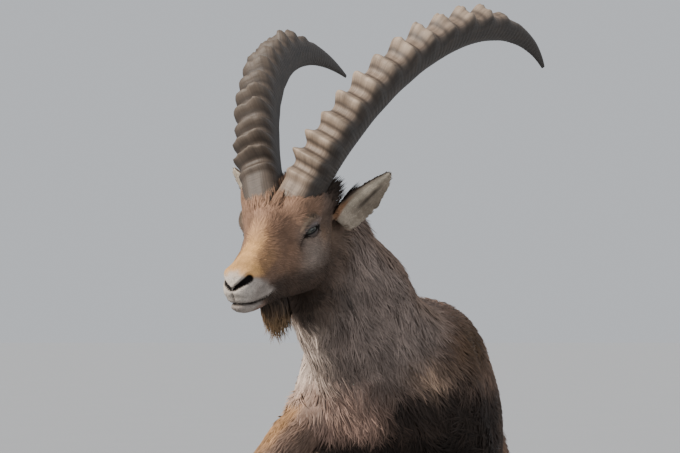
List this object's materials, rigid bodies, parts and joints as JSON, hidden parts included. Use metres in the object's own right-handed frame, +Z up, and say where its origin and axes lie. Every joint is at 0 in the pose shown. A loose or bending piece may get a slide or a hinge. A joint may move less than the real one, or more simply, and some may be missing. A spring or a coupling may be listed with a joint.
{
  "type": "alpine ibex",
  "caption": "Lying alpine ibex buck with backswept knobbed horns, head up and turned to its right, one foreleg reaching forward; a still life-size animal model.",
  "frame": {"origin": "middle of the animal's bounding box, on the floor it lies on", "axes": "+Z up; the animal faces -Y and its left side is +X; its rump is towards +Y"},
  "size_m": [0.6062, 1.3562, 0.9112],
  "materials": {
    "coat": "short dense grey-brown hair, redder on the brow and the back, pale at the lips",
    "leg_coat": "very short near-black brown hair, golden along the front of the right foreleg",
    "beard": "coarse brown hair with an orange tip",
    "horn": "matt fibrous keratin, knobs paler, tips darker",
    "hoof": "matt near-black keratin",
    "eye": "wet yellow-brown eyeball with a level slit pupil"
  },
  "bodies": {
    "root": {"barrel": "coat", "beard": "beard", "chest": "coat", "ear_left": "coat", "ear_right": "coat", "eye_left": "eye", "eye_right": "eye", "fore_left_cannon": "leg_coat", "fore_left_dewclaw_inner": "hoof", "fore_left_dewclaw_outer": "hoof", "fore_left_hoof_inner": "hoof", "fore_left_hoof_outer": "hoof", "fore_left_pastern": "leg_coat", "fore_right_cannon": "leg_coat", "fore_right_dewclaw_inner": "hoof", "fore_right_dewclaw_outer": "hoof", "fore_right_hoof_inner": "hoof", "fore_right_hoof_outer": "hoof", "fore_right_pastern": "leg_coat", "forearm_left": "leg_coat", "forearm_right": "leg_coat", "head": "coat", "hind_left_cannon": "leg_coat", "hind_left_dewclaw_inner": "hoof", "hind_left_dewclaw_outer": "hoof", "hind_left_hoof_inner": "hoof", "hind_left_hoof_outer": "hoof", "hind_left_pastern": "leg_coat", "hind_right_cannon": "leg_coat", "hind_right_dewclaw_inner": "hoof", "hind_right_dewclaw_outer": "hoof", "hind_right_hoof_inner": "hoof", "hind_right_hoof_outer": "hoof", "hind_right_pastern": "leg_coat", "horn_left": "horn", "horn_right": "horn", "lower_jaw": "coat", "neck": "coat", "rump": "coat", "shank_left": "leg_coat", "shank_right": "leg_coat", "tail": "leg_coat", "thigh_left": "coat", "thigh_right": "coat", "upper_arm_left": "coat", "upper_arm_right": "coat"}
  },
  "joints": []
}
